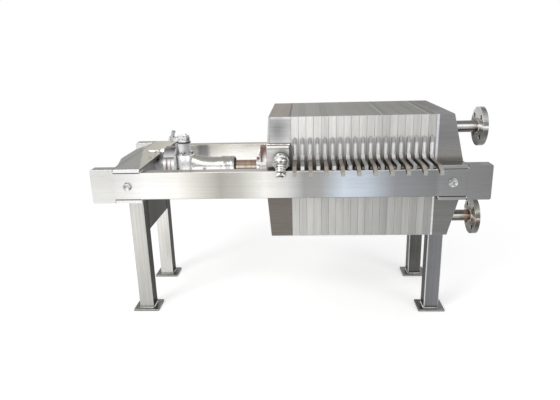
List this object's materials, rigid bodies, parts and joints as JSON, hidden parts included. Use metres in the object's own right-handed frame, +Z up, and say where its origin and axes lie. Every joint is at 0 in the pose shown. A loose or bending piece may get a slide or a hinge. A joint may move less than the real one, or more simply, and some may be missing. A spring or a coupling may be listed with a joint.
{
  "type": "plate and frame filter press",
  "caption": "Stainless plate and frame filter press with a hand-pumped jack, a moving head on rollers and two flanged ports, on square legs.",
  "frame": {"origin": "on the floor under the middle of the press", "axes": "+X along the side beams towards the fixed head and its ports, +Y across the press away from the ports' side, +Z up"},
  "size_m": [1.428, 0.776, 0.797],
  "materials": {
    "beam_steel": "brushed",
    "frame_steel": "brushed",
    "head_steel": "brushed",
    "follower_steel": "brushed",
    "leg_steel": "satin",
    "plate_steel": "vertical brushing",
    "frame_plate_steel": "vertical brushing",
    "roller_steel": "turned",
    "jack_bright": "bright painted silver",
    "ram_steel": "stained with rust",
    "pump_fittings": "dull",
    "pipe_steel": "polished"
  },
  "bodies": {
    "stand": {"front_side_beam": "beam_steel", "rear_side_beam": "beam_steel", "head_tie_plates": "frame_steel", "tail_top_plate": "frame_steel", "tail_bottom_plate": "frame_steel", "tail_housing": "frame_steel", "tail_thrust_plate": "frame_steel", "tail_apron": "frame_steel", "fixed_head": "head_steel", "tail_legs": "leg_steel", "head_legs": "leg_steel", "foot_plates": "leg_steel", "beam_end_blocks": "beam_steel", "jack_body": "jack_bright", "jack_barrel": "jack_bright", "pump_cap": "pump_fittings", "upper_pipe": "pipe_steel", "lower_pipe": "pipe_steel"},
    "moving_head": {"moving_head": "follower_steel", "carrier_brackets": "follower_steel", "carrier_keepers": "roller_steel", "jack_ram": "ram_steel", "ram_pad": "jack_bright"},
    "front_roller": {"front_carrier_roller": "roller_steel"},
    "rear_roller": {"rear_carrier_roller": "roller_steel"},
    "pump_lever": {"pump_lever_socket": "pump_fittings"},
    "release_valve": {"jack_release_valve": "pump_fittings"},
    "filter_frame_01": {"filter_frame_01": "frame_plate_steel"},
    "filter_plate_02": {"filter_plate_02": "plate_steel"},
    "filter_frame_03": {"filter_frame_03": "frame_plate_steel"},
    "filter_plate_04": {"filter_plate_04": "plate_steel"},
    "filter_frame_05": {"filter_frame_05": "frame_plate_steel"},
    "filter_plate_06": {"filter_plate_06": "plate_steel"},
    "filter_frame_07": {"filter_frame_07": "frame_plate_steel"},
    "filter_plate_08": {"filter_plate_08": "plate_steel"},
    "filter_frame_09": {"filter_frame_09": "frame_plate_steel"},
    "filter_plate_10": {"filter_plate_10": "plate_steel"},
    "filter_frame_11": {"filter_frame_11": "frame_plate_steel"},
    "filter_plate_12": {"filter_plate_12": "plate_steel"},
    "filter_frame_13": {"filter_frame_13": "frame_plate_steel"},
    "filter_plate_14": {"filter_plate_14": "plate_steel"},
    "filter_frame_15": {"filter_frame_15": "frame_plate_steel"},
    "filter_plate_16": {"filter_plate_16": "plate_steel"},
    "filter_frame_17": {"filter_frame_17": "frame_plate_steel"},
    "filter_plate_18": {"filter_plate_18": "plate_steel"},
    "filter_frame_19": {"filter_frame_19": "frame_plate_steel"}
  },
  "joints": [
    {"name": "moving_head_slide", "type": "slide", "parent": "stand", "child": "moving_head", "axis": [-1, 0, 0], "range_m": [0, 0.084]},
    {"name": "filter_frame_01_slide", "type": "slide", "parent": "stand", "child": "filter_frame_01", "axis": [-1, 0, 0], "range_m": [0, 0.084]},
    {"name": "filter_plate_02_slide", "type": "slide", "parent": "stand", "child": "filter_plate_02", "axis": [-1, 0, 0], "range_m": [0, 0.084]},
    {"name": "filter_frame_03_slide", "type": "slide", "parent": "stand", "child": "filter_frame_03", "axis": [-1, 0, 0], "range_m": [0, 0.084]},
    {"name": "filter_plate_04_slide", "type": "slide", "parent": "stand", "child": "filter_plate_04", "axis": [-1, 0, 0], "range_m": [0, 0.084]},
    {"name": "filter_frame_05_slide", "type": "slide", "parent": "stand", "child": "filter_frame_05", "axis": [-1, 0, 0], "range_m": [0, 0.084]},
    {"name": "filter_plate_06_slide", "type": "slide", "parent": "stand", "child": "filter_plate_06", "axis": [-1, 0, 0], "range_m": [0, 0.084]},
    {"name": "filter_frame_07_slide", "type": "slide", "parent": "stand", "child": "filter_frame_07", "axis": [-1, 0, 0], "range_m": [0, 0.084]},
    {"name": "filter_plate_08_slide", "type": "slide", "parent": "stand", "child": "filter_plate_08", "axis": [-1, 0, 0], "range_m": [0, 0.084]},
    {"name": "filter_frame_09_slide", "type": "slide", "parent": "stand", "child": "filter_frame_09", "axis": [-1, 0, 0], "range_m": [0, 0.084]},
    {"name": "filter_plate_10_slide", "type": "slide", "parent": "stand", "child": "filter_plate_10", "axis": [-1, 0, 0], "range_m": [0, 0.084]},
    {"name": "filter_frame_11_slide", "type": "slide", "parent": "stand", "child": "filter_frame_11", "axis": [-1, 0, 0], "range_m": [0, 0.084]},
    {"name": "filter_plate_12_slide", "type": "slide", "parent": "stand", "child": "filter_plate_12", "axis": [-1, 0, 0], "range_m": [0, 0.084]},
    {"name": "filter_frame_13_slide", "type": "slide", "parent": "stand", "child": "filter_frame_13", "axis": [-1, 0, 0], "range_m": [0, 0.084]},
    {"name": "filter_plate_14_slide", "type": "slide", "parent": "stand", "child": "filter_plate_14", "axis": [-1, 0, 0], "range_m": [0, 0.084]},
    {"name": "filter_frame_15_slide", "type": "slide", "parent": "stand", "child": "filter_frame_15", "axis": [-1, 0, 0], "range_m": [0, 0.084]},
    {"name": "filter_plate_16_slide", "type": "slide", "parent": "stand", "child": "filter_plate_16", "axis": [-1, 0, 0], "range_m": [0, 0.084]},
    {"name": "filter_frame_17_slide", "type": "slide", "parent": "stand", "child": "filter_frame_17", "axis": [-1, 0, 0], "range_m": [0, 0.084]},
    {"name": "filter_plate_18_slide", "type": "slide", "parent": "stand", "child": "filter_plate_18", "axis": [-1, 0, 0], "range_m": [0, 0.084]},
    {"name": "filter_frame_19_slide", "type": "slide", "parent": "stand", "child": "filter_frame_19", "axis": [-1, 0, 0], "range_m": [0, 0.084]},
    {"name": "front_roller_spin", "type": "hinge", "parent": "moving_head", "child": "front_roller", "pos_m": [-0.022, -0.269, 0.6303], "axis": [0, 1, 0], "range_deg": [-200, 10]},
    {"name": "rear_roller_spin", "type": "hinge", "parent": "moving_head", "child": "rear_roller", "pos_m": [-0.022, 0.269, 0.6303], "axis": [0, 1, 0], "range_deg": [-200, 10]},
    {"name": "pump_lever_pivot", "type": "hinge", "parent": "stand", "child": "pump_lever", "pos_m": [-0.48, 0, 0.671], "axis": [0, 1, 0], "range_deg": [-60, 15]},
    {"name": "release_valve_turn", "type": "hinge", "parent": "stand", "child": "release_valve", "pos_m": [-0.538, -0.033, 0.628], "axis": [1, 0, 0], "range_deg": [0, 180]}
  ],
  "couplings": [
    {"joint": "filter_frame_01_slide", "follows": "moving_head_slide", "ratio": 0.95},
    {"joint": "filter_plate_02_slide", "follows": "moving_head_slide", "ratio": 0.9},
    {"joint": "filter_frame_03_slide", "follows": "moving_head_slide", "ratio": 0.85},
    {"joint": "filter_plate_04_slide", "follows": "moving_head_slide", "ratio": 0.8},
    {"joint": "filter_frame_05_slide", "follows": "moving_head_slide", "ratio": 0.75},
    {"joint": "filter_plate_06_slide", "follows": "moving_head_slide", "ratio": 0.7},
    {"joint": "filter_frame_07_slide", "follows": "moving_head_slide", "ratio": 0.65},
    {"joint": "filter_plate_08_slide", "follows": "moving_head_slide", "ratio": 0.6},
    {"joint": "filter_frame_09_slide", "follows": "moving_head_slide", "ratio": 0.55},
    {"joint": "filter_plate_10_slide", "follows": "moving_head_slide", "ratio": 0.5},
    {"joint": "filter_frame_11_slide", "follows": "moving_head_slide", "ratio": 0.45},
    {"joint": "filter_plate_12_slide", "follows": "moving_head_slide", "ratio": 0.4},
    {"joint": "filter_frame_13_slide", "follows": "moving_head_slide", "ratio": 0.35},
    {"joint": "filter_plate_14_slide", "follows": "moving_head_slide", "ratio": 0.3},
    {"joint": "filter_frame_15_slide", "follows": "moving_head_slide", "ratio": 0.25},
    {"joint": "filter_plate_16_slide", "follows": "moving_head_slide", "ratio": 0.2},
    {"joint": "filter_frame_17_slide", "follows": "moving_head_slide", "ratio": 0.15},
    {"joint": "filter_plate_18_slide", "follows": "moving_head_slide", "ratio": 0.1},
    {"joint": "filter_frame_19_slide", "follows": "moving_head_slide", "ratio": 0.05},
    {"joint": "front_roller_spin", "follows": "moving_head_slide", "rad_per_m": -33.333},
    {"joint": "rear_roller_spin", "follows": "moving_head_slide", "rad_per_m": -33.333}
  ]
}
